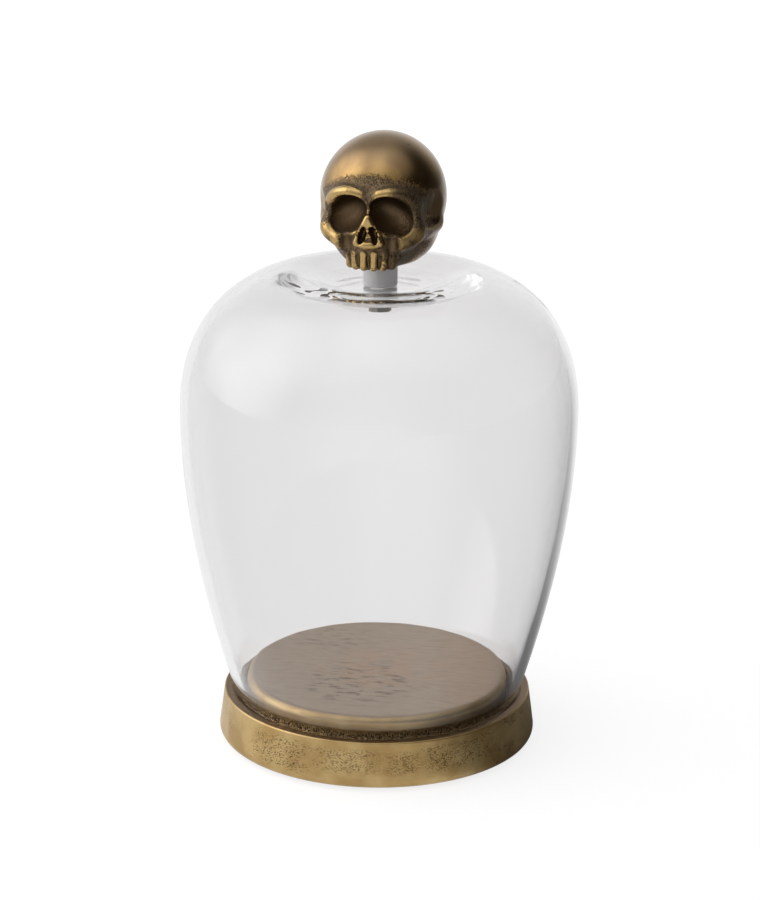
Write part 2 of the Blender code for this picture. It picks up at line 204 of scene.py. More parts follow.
# %% Glass bell
GLASS_WALL = 0.0040
FOOT_RADIUS = 0.0728
FOOT_FLARE = 0.318  # outward run for each unit of rise at the foot
FOOT_ROUND = 0.0015
FOOT_INSET = 0.0001  # from the sides of the foot to its rounded edges
BELLY_RADIUS = 0.0997
BELLY_RISE = 0.1497  # from the foot to the widest ring
CROWN_RADIUS = 0.0470
DISH_DEPTH = 0.0072
DISH_FLOOR_RADIUS = 0.0140
HOLE_RADIUS = 0.0055
# How far each curve runs along its end tangent
FOOT_PULL = 0.0380
BELLY_PULL_DOWN = 0.0571
BELLY_PULL_UP = 0.0546
CROWN_PULL_OUT = 0.0130
CROWN_PULL_IN = 0.0110
DISH_PULL = 0.0150
# The pressed dish
SWELLING = 0.0022
SWELLING_SPREAD = 0.0120
SWELLING_PLACE = 0.0115  # along the outside, from the crest towards the hole
PRESS_UNEVENNESS = 0.0005
PRESS_PATCH = 0.017
PRESS_REACH = 0.0207  # how far below the crown the glass is uneven
PRESS_FADE = 0.010

glass_low, glass_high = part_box("glass_dome")
GLASS_FOOT, CROWN = glass_low.z, glass_high.z
BELLY = GLASS_FOOT + BELLY_RISE
DISH_FLOOR = CROWN - DISH_DEPTH

bell_side = bezier((FOOT_RADIUS, GLASS_FOOT), (FOOT_RADIUS + FOOT_FLARE * FOOT_PULL, GLASS_FOOT + FOOT_PULL),
                   (BELLY_RADIUS, BELLY - BELLY_PULL_DOWN), (BELLY_RADIUS, BELLY), 48)
bell_shoulder = bezier((BELLY_RADIUS, BELLY), (BELLY_RADIUS, BELLY + BELLY_PULL_UP),
                       (CROWN_RADIUS + CROWN_PULL_OUT, CROWN), (CROWN_RADIUS, CROWN), 56)
bell_dish = bezier((CROWN_RADIUS, CROWN), (CROWN_RADIUS - CROWN_PULL_IN, CROWN),
                   (DISH_FLOOR_RADIUS + DISH_PULL, DISH_FLOOR), (DISH_FLOOR_RADIUS, DISH_FLOOR), 40)
bell_outside = bell_side + bell_shoulder[1:] + bell_dish[1:] + [(HOLE_RADIUS, DISH_FLOOR)]
travel = np.cumsum([0.0] + [math.dist(start, end) for start, end in zip(bell_outside, bell_outside[1:])])
swollen = travel[len(bell_side) + len(bell_shoulder) - 2] + SWELLING_PLACE
bell_inside = []
for i, (radius, height) in enumerate(bell_outside):
    before = bell_outside[max(i - 1, 0)]
    after = bell_outside[min(i + 1, len(bell_outside) - 1)]
    run = Vector((after[0] - before[0], after[1] - before[1])).normalized()
    wall = GLASS_WALL + SWELLING * math.exp(-((travel[i] - swollen) / SWELLING_SPREAD)**2)
    bell_inside.append((radius - run.y * wall, height + run.x * wall))
bell_inside[0] = (FOOT_RADIUS - GLASS_WALL * math.hypot(1.0, FOOT_FLARE), GLASS_FOOT)
bell_inside[-1] = (HOLE_RADIUS, DISH_FLOOR - GLASS_WALL)

foot_edge = GLASS_FOOT + FOOT_ROUND
bell_outline = [point for point in bell_outside + bell_inside[::-1] if point[1] > foot_edge]
bell_outline += arc((bell_inside[0][0] + FOOT_ROUND + FOOT_INSET, foot_edge), FOOT_ROUND, 180, 270, 6)
bell_outline += arc((FOOT_RADIUS - FOOT_ROUND - FOOT_INSET, foot_edge), FOOT_ROUND, 270, 360, 6)
bell_mesh = spun(bell_outline, 192)
for vert in bell_mesh.verts:
    out_of_dish = (math.hypot(vert.co.x, vert.co.y) - DISH_FLOOR_RADIUS) / PRESS_FADE
    near_crown = (vert.co.z - CROWN + PRESS_REACH) / PRESS_FADE
    share = min(1.0, max(0.0, out_of_dish)) * min(1.0, max(0.0, near_crown))
    vert.co.z += share * PRESS_UNEVENNESS * (noise.noise(vert.co / PRESS_PATCH) - 1.0) / 2.0
bell = piece_from("glass_bell", bell_mesh, "dome", "glass_dome", 70.0)

# %% [markdown]
# ## Skull
# The finial is a small cast skull, round like a pebble at the back and sharply cut at the face. It
# could be sculpted by hand, but a script needs a recipe, so the skull is written as one soft form: eggs
# and bars that melt into each other, with more eggs carved out for the eyes, the temples and the
# nostrils. The form tells how far any point is from the skin.

# %% Soft forms
SOFT_BLEND = 0.0050
FIRM_BLEND = 0.0028
CRISP_BLEND = 0.0012


def egg(points, place, size):
    half = np.array(size) / 2
    local = points - place
    near = np.linalg.norm(local / half, axis=1)
    slope = np.linalg.norm(local / half**2, axis=1)
    return near * (near - 1.0) / np.maximum(slope, 1e-9)


def bar(points, start, end, width):
    run = np.subtract(end, start)
    along = np.clip((points - start) @ run / (run @ run), 0.0, 1.0)
    return np.linalg.norm(points - start - along[:, None] * run, axis=1) - width / 2


def join(first, second, blend):
    mix = np.clip(0.5 + 0.5 * (second - first) / blend, 0.0, 1.0)
    return second + (first - second) * mix - blend * mix * (1.0 - mix)


def carve(first, second, blend):
    return -join(-first, second, blend)


def rope(points, line, width):
    """Bars end to end along a line."""
    return np.min([bar(points, start, end, width) for start, end in zip(line, line[1:])], axis=0)


def eased_line(line, steps=4):
    """A curved line through the same points."""
    line = np.array(line)
    points = np.vstack([2 * line[0] - line[1], line, 2 * line[-1] - line[-2]])
    curve = [line[0]]
    for a, b, c, d in zip(points, points[1:], points[2:], points[3:]):
        for t in np.arange(1, steps + 1) / steps:
            bend = (2 * a - 5 * b + 4 * c - d) * t**2 + (3 * b - 3 * c + d - a) * t**3
            curve.append(b + ((c - a) * t + bend) / 2)
    return curve


# %% [markdown]
# ### The form of the head
# The places below are in metres on the skull's left half: across from the middle of the face, back
# from the stud, and up from the seat. The form is mirrored by reading the distance across without its
# sign. It is made in two steps, the plain head and then the head with its deep hollows, so that the
# finish can later tell how deep a point lies in one.

# %% The skull's form
CRANIUM, CRANIUM_SIZE = (0.0000, 0.0055, 0.0304), (0.0620, 0.0700, 0.0640)
NAPE, NAPE_SIZE = (0.0110, 0.0070, 0.0135), (0.0300, 0.0430, 0.0310)
FACE, FACE_SIZE = (0.0000, -0.0150, 0.0190), (0.0420, 0.0286, 0.0360)
JAW, JAW_SIZE = (0.0000, -0.0155, 0.0070), (0.0270, 0.0246, 0.0220)
JAW_SIDE, JAW_SIDE_SIZE = (0.0100, -0.0030, 0.0070), (0.0160, 0.0220, 0.0180)
TEMPLE, TEMPLE_SIZE = (0.0332, -0.0150, 0.0290), (0.0150, 0.0240, 0.0150)
ARCH_NOTCH, ARCH_NOTCH_SIZE = (0.0318, -0.0058, 0.0243), (0.0064, 0.0052, 0.0092)
EYE, EYE_SIZE = (0.0117, -0.0300, 0.0274), (0.0228, 0.0260, 0.0196)
CHEEK_UNDERCUT, CHEEK_UNDERCUT_SIZE = (0.0195, -0.0245, 0.0010), (0.0110, 0.0150, 0.0150)
CHEEK_HOLLOW, CHEEK_HOLLOW_SIZE = (0.0115, -0.0310, 0.0130), (0.0072, 0.0120, 0.0130)
NOSTRIL, NOSTRIL_SIZE = (0.0028, -0.0315, 0.0184), (0.0038, 0.0120, 0.0090)
BROW_LINE = ((0.0005, -0.0276, 0.0345), (0.0055, -0.0289, 0.0378), (0.0120, -0.0276, 0.0389),
             (0.0178, -0.0232, 0.0362), (0.0214, -0.0178, 0.0305))
CHEEK_LINE = ((0.0212, -0.0180, 0.0215), (0.0200, -0.0200, 0.0175), (0.0145, -0.0235, 0.0140))
ARCH_LINE = ((0.0215, -0.0180, 0.0185), (0.0268, 0.0020, 0.0190))
ARCH_HOLLOW_LINE = ((0.0270, -0.0125, 0.0245), ARCH_NOTCH)
NOSE_LINE = ((0.0000, -0.0308, 0.0268), (0.0057, -0.0292, 0.0143), (0.0010, -0.0304, 0.0133))
BRIDGE_LINE = ((0.0000, -0.0272, 0.0350), NOSE_LINE[0])
BROW_WIDTH = 0.0048
CHEEK_WIDTH = 0.0085
ARCH_WIDTH = 0.0062
ARCH_HOLLOW_WIDTH = 0.0052
NOSE_WIDTH = 0.0042
BRIDGE_WIDTH = 0.0022
EYE_DROOP = 0.24  # how far an eye socket sinks for each unit outward
NOSTRIL_LEAN = 0.24  # how far a nostril leans inward for each unit of rise
TOOTH_COUNT = 6
TOOTH_WIDTH = 0.0046
TOOTH_HEIGHT = 0.0090
TOOTH_GAP = 0.0018
TOOTH_ROW_RADIUS = 0.0120
TOOTH_TURN = 0.40  # radians round the jaw from one tooth to the next

brow_curve = eased_line(BROW_LINE)
cheek_curve = eased_line(CHEEK_LINE)


def tooth_bar(points, turn, radius, bottom, top, width):
    foot = np.array((radius * math.sin(turn), JAW[1] - radius * math.cos(turn), bottom))
    return bar(points, foot, foot + (0.0, 0.0, top - bottom), width)


def halved(points):
    """The points on one half of the head, and again with a rounded fold along its middle."""
    across, along, up = points.T
    return (np.column_stack([np.abs(across), along, up]),
            np.column_stack([np.hypot(across, CRISP_BLEND), along, up]))


def plain_head(points):
    """The skull with its ridges and shallow sides, before its deep hollows are carved."""
    half, eased = halved(points)
    form = egg(half, CRANIUM, CRANIUM_SIZE)
    for place, size in ((NAPE, NAPE_SIZE), (FACE, FACE_SIZE), (JAW, JAW_SIZE), (JAW_SIDE, JAW_SIDE_SIZE)):
        form = join(form, egg(half, place, size), SOFT_BLEND)
    form = join(form, rope(eased, brow_curve, BROW_WIDTH), SOFT_BLEND)
    form = join(form, rope(half, cheek_curve, CHEEK_WIDTH), SOFT_BLEND)
    form = join(form, bar(half, *ARCH_LINE, ARCH_WIDTH), SOFT_BLEND)
    form = carve(form, egg(half, TEMPLE, TEMPLE_SIZE), SOFT_BLEND)
    return carve(form, bar(half, *ARCH_HOLLOW_LINE, ARCH_HOLLOW_WIDTH), FIRM_BLEND)


def skull_form(points):
    half, eased = halved(points)
    up = points[:, 2]
    form = carve(plain_head(points), egg(half, ARCH_NOTCH, ARCH_NOTCH_SIZE), CRISP_BLEND)
    drooped = half + np.outer(EYE_DROOP * (half[:, 0] - EYE[0]), (0.0, 0.0, 1.0))
    form = carve(form, egg(drooped, EYE, EYE_SIZE), CRISP_BLEND)
    form = carve(form, egg(half, CHEEK_UNDERCUT, CHEEK_UNDERCUT_SIZE), SOFT_BLEND)
    form = carve(form, egg(half, CHEEK_HOLLOW, CHEEK_HOLLOW_SIZE), FIRM_BLEND)

    form = join(form, bar(eased, *BRIDGE_LINE, BRIDGE_WIDTH), CRISP_BLEND)
    form = join(form, rope(eased, NOSE_LINE, NOSE_WIDTH), CRISP_BLEND)
    leaning = half + np.outer(NOSTRIL_LEAN * (up - NOSTRIL[2]), (1.0, 0.0, 0.0))
    form = carve(form, egg(leaning, NOSTRIL, NOSTRIL_SIZE), CRISP_BLEND / 2)

    for i in range(TOOTH_COUNT // 2):
        tooth = tooth_bar(half, (i + 0.5) * TOOTH_TURN, TOOTH_ROW_RADIUS, TOOTH_WIDTH / 2, TOOTH_HEIGHT,
                          TOOTH_WIDTH)
        form = join(form, tooth, CRISP_BLEND)
    for i in range(TOOTH_COUNT // 2 + 1):
        gap = tooth_bar(half, i * TOOTH_TURN, TOOTH_ROW_RADIUS + TOOTH_GAP, 0.0, TOOTH_HEIGHT - TOOTH_WIDTH / 2,
                        TOOTH_GAP)
        form = carve(form, gap, CRISP_BLEND)
    return np.maximum(form, -up)


# %% [markdown]
# ### From form to mesh
# A ball of points round a spot deep in the head is drawn in along its own rays until each point meets
# the skin. Its facets are uneven then, large on the crown and torn in the sockets, so a voxel remesh
# gives it even ones.

# %% Draw a ball in onto the form
MARCH_STEP = 0.0005
SKULL_VOXEL = 0.00050
HEART = np.array((0.0, -0.0032, EYE[2]))  # deep behind the face, in sight of its whole surface


def moved_to(bm, points):
    for vert, point in zip(bm.verts, points):
        vert.co = point


ball = bmesh.new()
bmesh.ops.create_icosphere(ball, subdivisions=6, radius=1.0)
rays = np.array([vert.co.normalized() for vert in ball.verts])
distance = np.full(len(rays), max(CRANIUM_SIZE))
outside = np.ones(len(rays), bool)
while outside.any():
    distance[outside] -= MARCH_STEP
    outside[outside] = skull_form(HEART + rays[outside] * distance[outside, None]) > 0.0
moved_to(ball, HEART + rays * distance[:, None])
rough_mesh = bpy.data.meshes.new("skull_rough")
ball.to_mesh(rough_mesh)
ball.free()
rough_skull = bpy.data.objects.new("skull_rough", rough_mesh)
bpy.context.collection.objects.link(rough_skull)
even = rough_skull.modifiers.new("even facets", "REMESH")
even.mode = "VOXEL"
even.voxel_size = SKULL_VOXEL
even_mesh = bpy.data.meshes.new_from_object(rough_skull.evaluated_get(bpy.context.evaluated_depsgraph_get()))
bpy.data.objects.remove(rough_skull, do_unlink=True)
print("remeshed skull:", len(even_mesh.polygons), "faces")

# %% [markdown]
# The remesh rounds the fine edges off a little. So the points settle onto the skin again, down the
# form's own slope, with a touch of smoothing between the rounds to keep the facets even.

# %% Settle the skull
FIT_GAP = 0.0003  # between the skull and its sleeve
SKULL_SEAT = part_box("spacer_sleeve")[1].z + FIT_GAP
SLOPE_STEP = 0.00004
SETTLING_ROUNDS = 3


def settled(points):
    """Each point moved onto the skin, straight down the form's own slope."""
    value = skull_form(points)
    slope = np.column_stack([(skull_form(points + shift) - skull_form(points - shift)) / (2 * SLOPE_STEP)
                             for shift in np.eye(3) * SLOPE_STEP])
    return points - slope * (value / np.maximum((slope**2).sum(axis=1), 0.2))[:, None]


skull_mesh = bmesh.new()
skull_mesh.from_mesh(even_mesh)
skin = np.array([vert.co for vert in skull_mesh.verts])
for _ in range(SETTLING_ROUNDS):
    moved_to(skull_mesh, settled(skin))
    bmesh.ops.smooth_vert(skull_mesh, verts=skull_mesh.verts, factor=0.5,
                          use_axis_x=True, use_axis_y=True, use_axis_z=True)
    skin = np.array([vert.co for vert in skull_mesh.verts])
skin = settled(skin)
skull_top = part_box("skull_finial")[1].z - SKULL_SEAT
skin[:, 2] = np.clip(skin[:, 2], 0.0, skull_top)
moved_to(skull_mesh, skin + (0.0, 0.0, SKULL_SEAT))
skull = piece_from("cast_skull", skull_mesh, "finial", "skull_finial", 75.0)

# %% [markdown]
# ### Where the skull is dark and where it is rubbed bright
# Old brass stays dark where a cloth can't reach and bright where hands and cloths rub it. Two values
# are stored on the skull's points. One says how deep a point lies in a hollow, which the plain head
# gives. The other says how much rounder the skin is there than on the crown: the points are evened out
# for a few rounds, and a ridge sinks in by more than a broad curve does.

# %% Hollow and worn values
HOLLOW_DEPTH = 0.0045
EVENING_ROUNDS = 24
CREASE_FROM, CREASE_RANGE = 0.8, 3.5  # in bulges of the crown, inward
RIDGE_FROM, RIDGE_RANGE = 2.2, 2.2  # in bulges of the crown, outward


def stored(piece, name, values):
    attribute = piece.data.attributes.new(name, "FLOAT", "POINT")
    attribute.data.foreach_set("value", np.ascontiguousarray(values, dtype=np.float32))


edge_ends = np.empty(len(skull.data.edges) * 2, dtype=np.int32)
skull.data.edges.foreach_get("vertices", edge_ends)
first_end, second_end = edge_ends.reshape(-1, 2).T
count = len(skin)
neighbours = np.bincount(edge_ends, minlength=count)


def averaged(values):
    total = np.bincount(first_end, values[second_end], count) + np.bincount(second_end, values[first_end], count)
    return total / np.maximum(neighbours, 1)


normals = np.empty(count * 3, dtype=np.float32)
skull.data.vertex_normals.foreach_get("vector", normals)
normals = normals.reshape(-1, 3)
evened = skin.copy()
for _ in range(EVENING_ROUNDS):
    evened = np.column_stack([averaged(column) for column in evened.T])
bulge = ((skin - evened) * normals).sum(axis=1)
bulge = averaged(averaged(bulge)) / np.median(bulge)
depth = np.clip(-plain_head(skin) / HOLLOW_DEPTH, 0.0, 1.0)
crease = np.clip((-bulge - CREASE_FROM) / CREASE_RANGE, 0.0, 1.0)
ridge = np.clip((bulge - RIDGE_FROM) / RIDGE_RANGE, 0.0, 1.0)
stored(skull, "hollow", np.maximum(depth, crease))
stored(skull, "worn", ridge)
print("hollow share:", round(float((depth > 0.3).mean()), 3), "worn share:", round(float((ridge > 0.5).mean()), 3))

# %% [markdown]
# ## Fastening
# A steel stud runs up through a hole in the dish into the skull. Under the skull a clear soft sleeve
# keeps metal off the glass, a bush lines the hole, and a washer and a nut close the stack from below.
# The rings are turned to the sizes of the CAD, with rounded edges.

# %% Soft rings
STUD_HOLE_RADIUS = 0.0033


def soft_ring(name, edge, body, node):
    low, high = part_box(node)
    inner, outer = STUD_HOLE_RADIUS + edge, high.x - edge
    bottom, top = low.z + edge, high.z - edge
    outline = []
    for i, centre in enumerate(((outer, bottom), (outer, top), (inner, top), (inner, bottom))):
        outline += arc(centre, edge, 90 * i - 90, 90 * i, 5)
    return piece_from(name, spun(outline, 96), body, node, 60.0)


sleeve = soft_ring("soft_sleeve", 0.0008, "dome", "spacer_sleeve")
washer = soft_ring("soft_washer", 0.0004, "nut", "lower_washer")
bush = soft_ring("hole_lining", 0.0003, "dome", "hole_bush")

# %% [markdown]
# ### Stud
# The stud's thread is one zigzag, spun with a rise of one pitch for each turn, so it climbs as a real
# thread does. It is made a little too long, and each end is cut square and closed.

# %% Threaded stud
THREAD_PITCH = 0.0010
THREAD_DEPTH = 0.0005
THREAD_CREST = (0.45, 0.55)  # where the crest starts and ends, as shares of the pitch
THREAD_STEPS = 48
STUD_RADIUS = 0.0030

stud_low, stud_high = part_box("threaded_stud")
turns = math.ceil((stud_high.z - stud_low.z) / THREAD_PITCH) + 2
zigzag = []
for i in range(turns):
    height = stud_low.z + (i - 1.5) * THREAD_PITCH
    zigzag.append((STUD_RADIUS - THREAD_DEPTH, height))
    zigzag += [(STUD_RADIUS, height + share * THREAD_PITCH) for share in THREAD_CREST]
stud_mesh = bmesh.new()
verts = [stud_mesh.verts.new((radius, 0.0, height)) for radius, height in zigzag]
edges = [stud_mesh.edges.new(pair) for pair in zip(verts, verts[1:])]
bmesh.ops.spin(stud_mesh, geom=verts + edges, axis=(0, 0, 1), cent=(0, 0, 0), angle=math.tau, steps=THREAD_STEPS,
               dvec=(0, 0, THREAD_PITCH / THREAD_STEPS))
bmesh.ops.remove_doubles(stud_mesh, verts=stud_mesh.verts, dist=WELD)
for height, up in ((stud_low.z, -1), (stud_high.z, 1)):
    cut = bmesh.ops.bisect_plane(stud_mesh, geom=stud_mesh.verts[:] + stud_mesh.edges[:] + stud_mesh.faces[:],
                                 dist=WELD, plane_co=(0, 0, height), plane_no=(0, 0, up), clear_outer=True)
    rim = [item for item in cut["geom_cut"] if isinstance(item, bmesh.types.BMEdge)]
    bmesh.ops.holes_fill(stud_mesh, edges=rim)
bmesh.ops.recalc_face_normals(stud_mesh, faces=stud_mesh.faces)
print("open edges on the stud:", sum(edge.is_boundary for edge in stud_mesh.edges))
stud = piece_from("stud_thread", stud_mesh, "finial", "threaded_stud", 30.0)

# %% [markdown]
# ### Nut
# A nut is a six-sided bar cut to length with its corners turned off. A hexagon is extruded as a cone
# with six sides, its upright edges stay sharp, and a turned double cone trims the corners through a
# Boolean, as a lathe does.

# %% Hex nut
NUT_FLATS = 0.0100
NUT_FACE = 0.96  # share of the flats' width that the round end faces keep
NUT_CHAMFER = math.radians(30)
CUTTER_REACH = 1.2  # how far past the corners the double cone goes
BORE_OVERSHOOT = 0.001
NUT_SHARP_ANGLE = 25.0

nut_low, nut_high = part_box("hex_nut")
nut_corner = NUT_FLATS / math.sqrt(3.0)
hexagon = bmesh.new()
bmesh.ops.create_cone(hexagon, cap_ends=True, segments=6, radius1=nut_corner, radius2=nut_corner,
                      depth=nut_high.z - nut_low.z)
bmesh.ops.translate(hexagon, verts=hexagon.verts, vec=(0, 0, (nut_high.z + nut_low.z) / 2))
nut = piece_from("stud_nut", hexagon, "nut", "hex_nut", NUT_SHARP_ANGLE)


def trimmed(piece, name, outline, operation):
    """Applies a Boolean with a turned shape, and removes that shape again."""
    mesh = bpy.data.meshes.new(name)
    shape = spun(outline, 64)
    shape.to_mesh(mesh)
    shape.free()
    cutter = bpy.data.objects.new(name, mesh)
    bpy.context.collection.objects.link(cutter)
    cut = piece.modifiers.new(name, "BOOLEAN")
    cut.operation = operation
    cut.object = cutter
    result = bpy.data.meshes.new_from_object(piece.evaluated_get(bpy.context.evaluated_depsgraph_get()))
    piece.modifiers.clear()
    piece.data = result
    bpy.data.objects.remove(cutter, do_unlink=True)


face_radius = NUT_FLATS / 2 * NUT_FACE
cutter_radius = nut_corner * CUTTER_REACH
slope = (cutter_radius - face_radius) * math.tan(NUT_CHAMFER)
double_cone = [(0, nut_low.z), (face_radius, nut_low.z), (cutter_radius, nut_low.z + slope),
               (cutter_radius, nut_high.z - slope), (face_radius, nut_high.z), (0, nut_high.z)]
trimmed(nut, "corners", double_cone, "INTERSECT")
bore_bottom, bore_top = nut_low.z - BORE_OVERSHOOT, nut_high.z + BORE_OVERSHOOT
bore = [(0, bore_bottom), (STUD_HOLE_RADIUS, bore_bottom), (STUD_HOLE_RADIUS, bore_top), (0, bore_top)]
trimmed(nut, "bore", bore, "DIFFERENCE")
nut.data.shade_smooth()
nut.data.set_sharp_from_angle(angle=math.radians(NUT_SHARP_ANGLE))
print("nut faces:", len(nut.data.polygons))

# %% [markdown]
# ## Finishes
# Every finish is a small tree of nodes. A few helpers make a material and its nodes with plain calls,
# so that each finish below reads as a list of what is mixed with what. Patterns read Object
# coordinates, which are metres here, so a scale of 1000 means features about a millimetre across.

# %% Node helpers
def finish_named(name):
    made = bpy.data.materials.new(name)
    made.use_nodes = True
    return made, made.node_tree, made.node_tree.nodes["Principled BSDF"]


def plugged(tree, socket, value):
    """Links a socket to another one, or sets it to a plain value. Three numbers make a colour."""
    if isinstance(value, bpy.types.NodeSocket):
        tree.links.new(value, socket)
    elif socket.type == "RGBA":
        socket.default_value = (*value, 1.0)
    else:
        socket.default_value = value


def set_on(tree, shader, **inputs):
    for name, value in inputs.items():
        plugged(tree, shader.inputs[name.replace("_", " ")], value)


def node(tree, kind, settings=None, **inputs):
    """Adds a node. An input called i0 or i1 is meant by its number, and any other by its name."""
    made = tree.nodes.new("ShaderNode" + kind)
    for name, value in (settings or {}).items():
        setattr(made, name, value)
    for name, value in inputs.items():
        key = int(name[1:]) if name[0] == "i" and name[1:].isdigit() else name.replace("_", " ")
        plugged(tree, made.inputs[key], value)
    return made


def math_node(tree, operation, first, *others):
    """Takes values together from left to right, or changes one by itself."""
    for other in others or (0.0,):
        first = node(tree, "Math", {"operation": operation}, i0=first, i1=other).outputs[0]
    return first


def times(tree, *values):
    return math_node(tree, "MULTIPLY", *values)


def plus(tree, *values):
    return math_node(tree, "ADD", *values)


def minus(tree, first, second):
    return math_node(tree, "SUBTRACT", first, second)


def most(tree, *values):
    return math_node(tree, "MAXIMUM", *values)


def ranged(tree, value, low, high, new_low=0.0, new_high=1.0):
    """Eases from one value to another while the first goes from low to high, which may lie either way."""
    return node(tree, "MapRange", {"interpolation_type": "SMOOTHSTEP"}, Value=value, From_Min=low, From_Max=high,
                To_Min=new_low, To_Max=new_high).outputs[0]


def blended(tree, share, first, second):
    return node(tree, "Mix", {"data_type": "FLOAT"}, i0=share, i2=first, i3=second).outputs[0]


def colour_mix(tree, share, first, second):
    return node(tree, "Mix", {"data_type": "RGBA"}, i0=share, i6=first, i7=second).outputs[2]


def noise_at(tree, vector, scale, detail=3.0, roughness=0.5):
    return node(tree, "TexNoise", Vector=vector, Scale=scale, Detail=detail, Roughness=roughness).outputs[0]


def stretched(tree, vector, scale):
    return node(tree, "Mapping", Vector=vector, Scale=scale).outputs[0]


def distance_to(tree, vector, place):
    return node(tree, "VectorMath", {"operation": "DISTANCE"}, i0=vector, i1=place).outputs["Value"]


def bumped(tree, height, strength, distance):
    return node(tree, "Bump", Height=height, Strength=strength, Distance=distance).outputs[0]


# %% [markdown]
# ### Aged brass
# The casting is brass that was darkened and then rubbed back: golden on the side, greyer on the flat
# top, dark in the groove. Fine casting pits lie in patches on the side. A quick noise makes the pits,
# they are kept only inside the patches, and they darken the metal and dent it. At the front the patches
# have set places, and round the back a slow noise sets them. The flat top was brushed one way, so its
# noise is stretched along X, and dark cracks in two worn places show where things have stood.

# %% Brass for the base
BRASS_BRIGHT = (0.54, 0.385, 0.175)
BRASS_GOLD = (0.42, 0.275, 0.110)
BRASS_BROWN = (0.19, 0.120, 0.060)
BRASS_DARK = (0.045, 0.030, 0.016)
TOP_GREY = (0.45, 0.340, 0.240)
TOP_COPPER = (0.49, 0.335, 0.215)
# Patches of pits: degrees round from the front, half their spread, height, half their height, strength
PIT_PATCHES = ((-26, 13, 0.0140, 0.0078, 0.72), (0, 12, 0.0155, 0.0058, 0.6), (22, 6, 0.0145, 0.0052, 0.6),
               (45, 15, 0.0158, 0.0064, 0.72))
PATCH_FADE_DEGREES = 5
PATCH_FADE = 0.002
FRONT_ENDS = (0.8, 1.1)  # radians round from the front
# Worn places on the flat top: across, back, where they fade out, where they are full, strength
WORN_PLACES = ((-0.0046, -0.0214, 0.036, 0.018, 0.6), (-0.0294, 0.0326, 0.026, 0.010, 0.4))
COPPER_REACH = (0.045, 0.010)  # radii
WALL_FOOT = (0.0049, 0.0023)  # heights above the groove's floor, where the plateau's wall turns rough

base_brass, tree, shader = finish_named("base_brass")
here = node(tree, "TexCoord").outputs["Object"]
x, y, z = node(tree, "SeparateXYZ", Vector=here).outputs
radius = math_node(tree, "SQRT", plus(tree, times(tree, x, x), times(tree, y, y)))
on_top = ranged(tree, z, PLATEAU_TOP - 0.0006, PLATEAU_TOP - 0.0002)
in_groove = times(tree, ranged(tree, radius, PLATEAU_RADIUS - 0.0003, PLATEAU_RADIUS + 0.0003),
                  ranged(tree, radius, RIM_RADIUS - 0.0010, RIM_RADIUS - 0.0003, 1.0, 0.0))
on_side = ranged(tree, radius, RIM_RADIUS - 0.0006, RIM_RADIUS - 0.0001)
wall_foot = times(tree, ranged(tree, radius, PLATEAU_RADIUS + 0.0012, PLATEAU_RADIUS + 0.0004),
                  ranged(tree, z, *(GROOVE_FLOOR + height for height in WALL_FOOT)))

slow = noise_at(tree, here, 60.0)
grain = noise_at(tree, here, 1600.0, 2.0, 0.6)
flattened = stretched(tree, here, (1.0, 1.0, 1.8))
bearing = math_node(tree, "ARCTAN2", x, times(tree, y, -1.0))
patches = times(tree, ranged(tree, noise_at(tree, flattened, 46.0, 4.0, 0.65), 0.50, 0.62),
                ranged(tree, math_node(tree, "ABSOLUTE", bearing), *FRONT_ENDS))
for middle, spread, height, reach, strength in PIT_PATCHES:
    off = math_node(tree, "ABSOLUTE", minus(tree, bearing, math.radians(middle)))
    rise = math_node(tree, "ABSOLUTE", minus(tree, z, height))
    patch = times(tree, ranged(tree, off, math.radians(spread + PATCH_FADE_DEGREES),
                               math.radians(spread - PATCH_FADE_DEGREES)),
                  ranged(tree, rise, reach + PATCH_FADE, reach - PATCH_FADE, 0.0, strength))
    patches = most(tree, patches, patch)
broken = ranged(tree, noise_at(tree, flattened, 150.0, 3.0, 0.6), 0.32, 0.50)
pits = ranged(tree, noise_at(tree, flattened, 900.0, 3.0, 0.65), 0.50, 0.59)
side_pits = times(tree, patches, pits, on_side, broken)

streaks = noise_at(tree, stretched(tree, here, (0.14, 1.0, 1.0)), 900.0, 4.0, 0.6)
worn_places = [ranged(tree, distance_to(tree, here, (across, back, PLATEAU_TOP)), outer, inner, 0.0, strength)
               for across, back, outer, inner, strength in WORN_PLACES]
cracks = noise_at(tree, stretched(tree, here, (0.40, 1.0, 1.0)), 260.0, 5.0, 0.68)
top_marks = times(tree, ranged(tree, cracks, 0.53, 0.59), most(tree, *worn_places), on_top)
marks = most(tree, side_pits, top_marks, times(tree, wall_foot, ranged(tree, grain, 0.42, 0.60)))

side_colour = colour_mix(tree, ranged(tree, slow, 0.35, 0.65), BRASS_GOLD, BRASS_BRIGHT)
copper = times(tree, ranged(tree, radius, *COPPER_REACH), ranged(tree, slow, 0.40, 0.56))
top_colour = colour_mix(tree, copper, TOP_GREY, TOP_COPPER)
top_colour = colour_mix(tree, ranged(tree, streaks, 0.45, 0.75, 0.0, 0.25), top_colour, BRASS_BROWN)
colour = colour_mix(tree, on_top, side_colour, top_colour)
colour = colour_mix(tree, in_groove, colour, BRASS_BROWN)
colour = colour_mix(tree, marks, colour, BRASS_DARK)
relief = minus(tree, times(tree, streaks, 0.12), marks)
set_on(tree, shader, Base_Color=colour, Roughness=ranged(tree, streaks, 0.3, 0.7, 0.30, 0.42), Metallic=1.0,
       Normal=bumped(tree, relief, 0.6, 0.0004))
base.data.materials.append(base_brass)
print("base finish nodes:", len(tree.nodes))

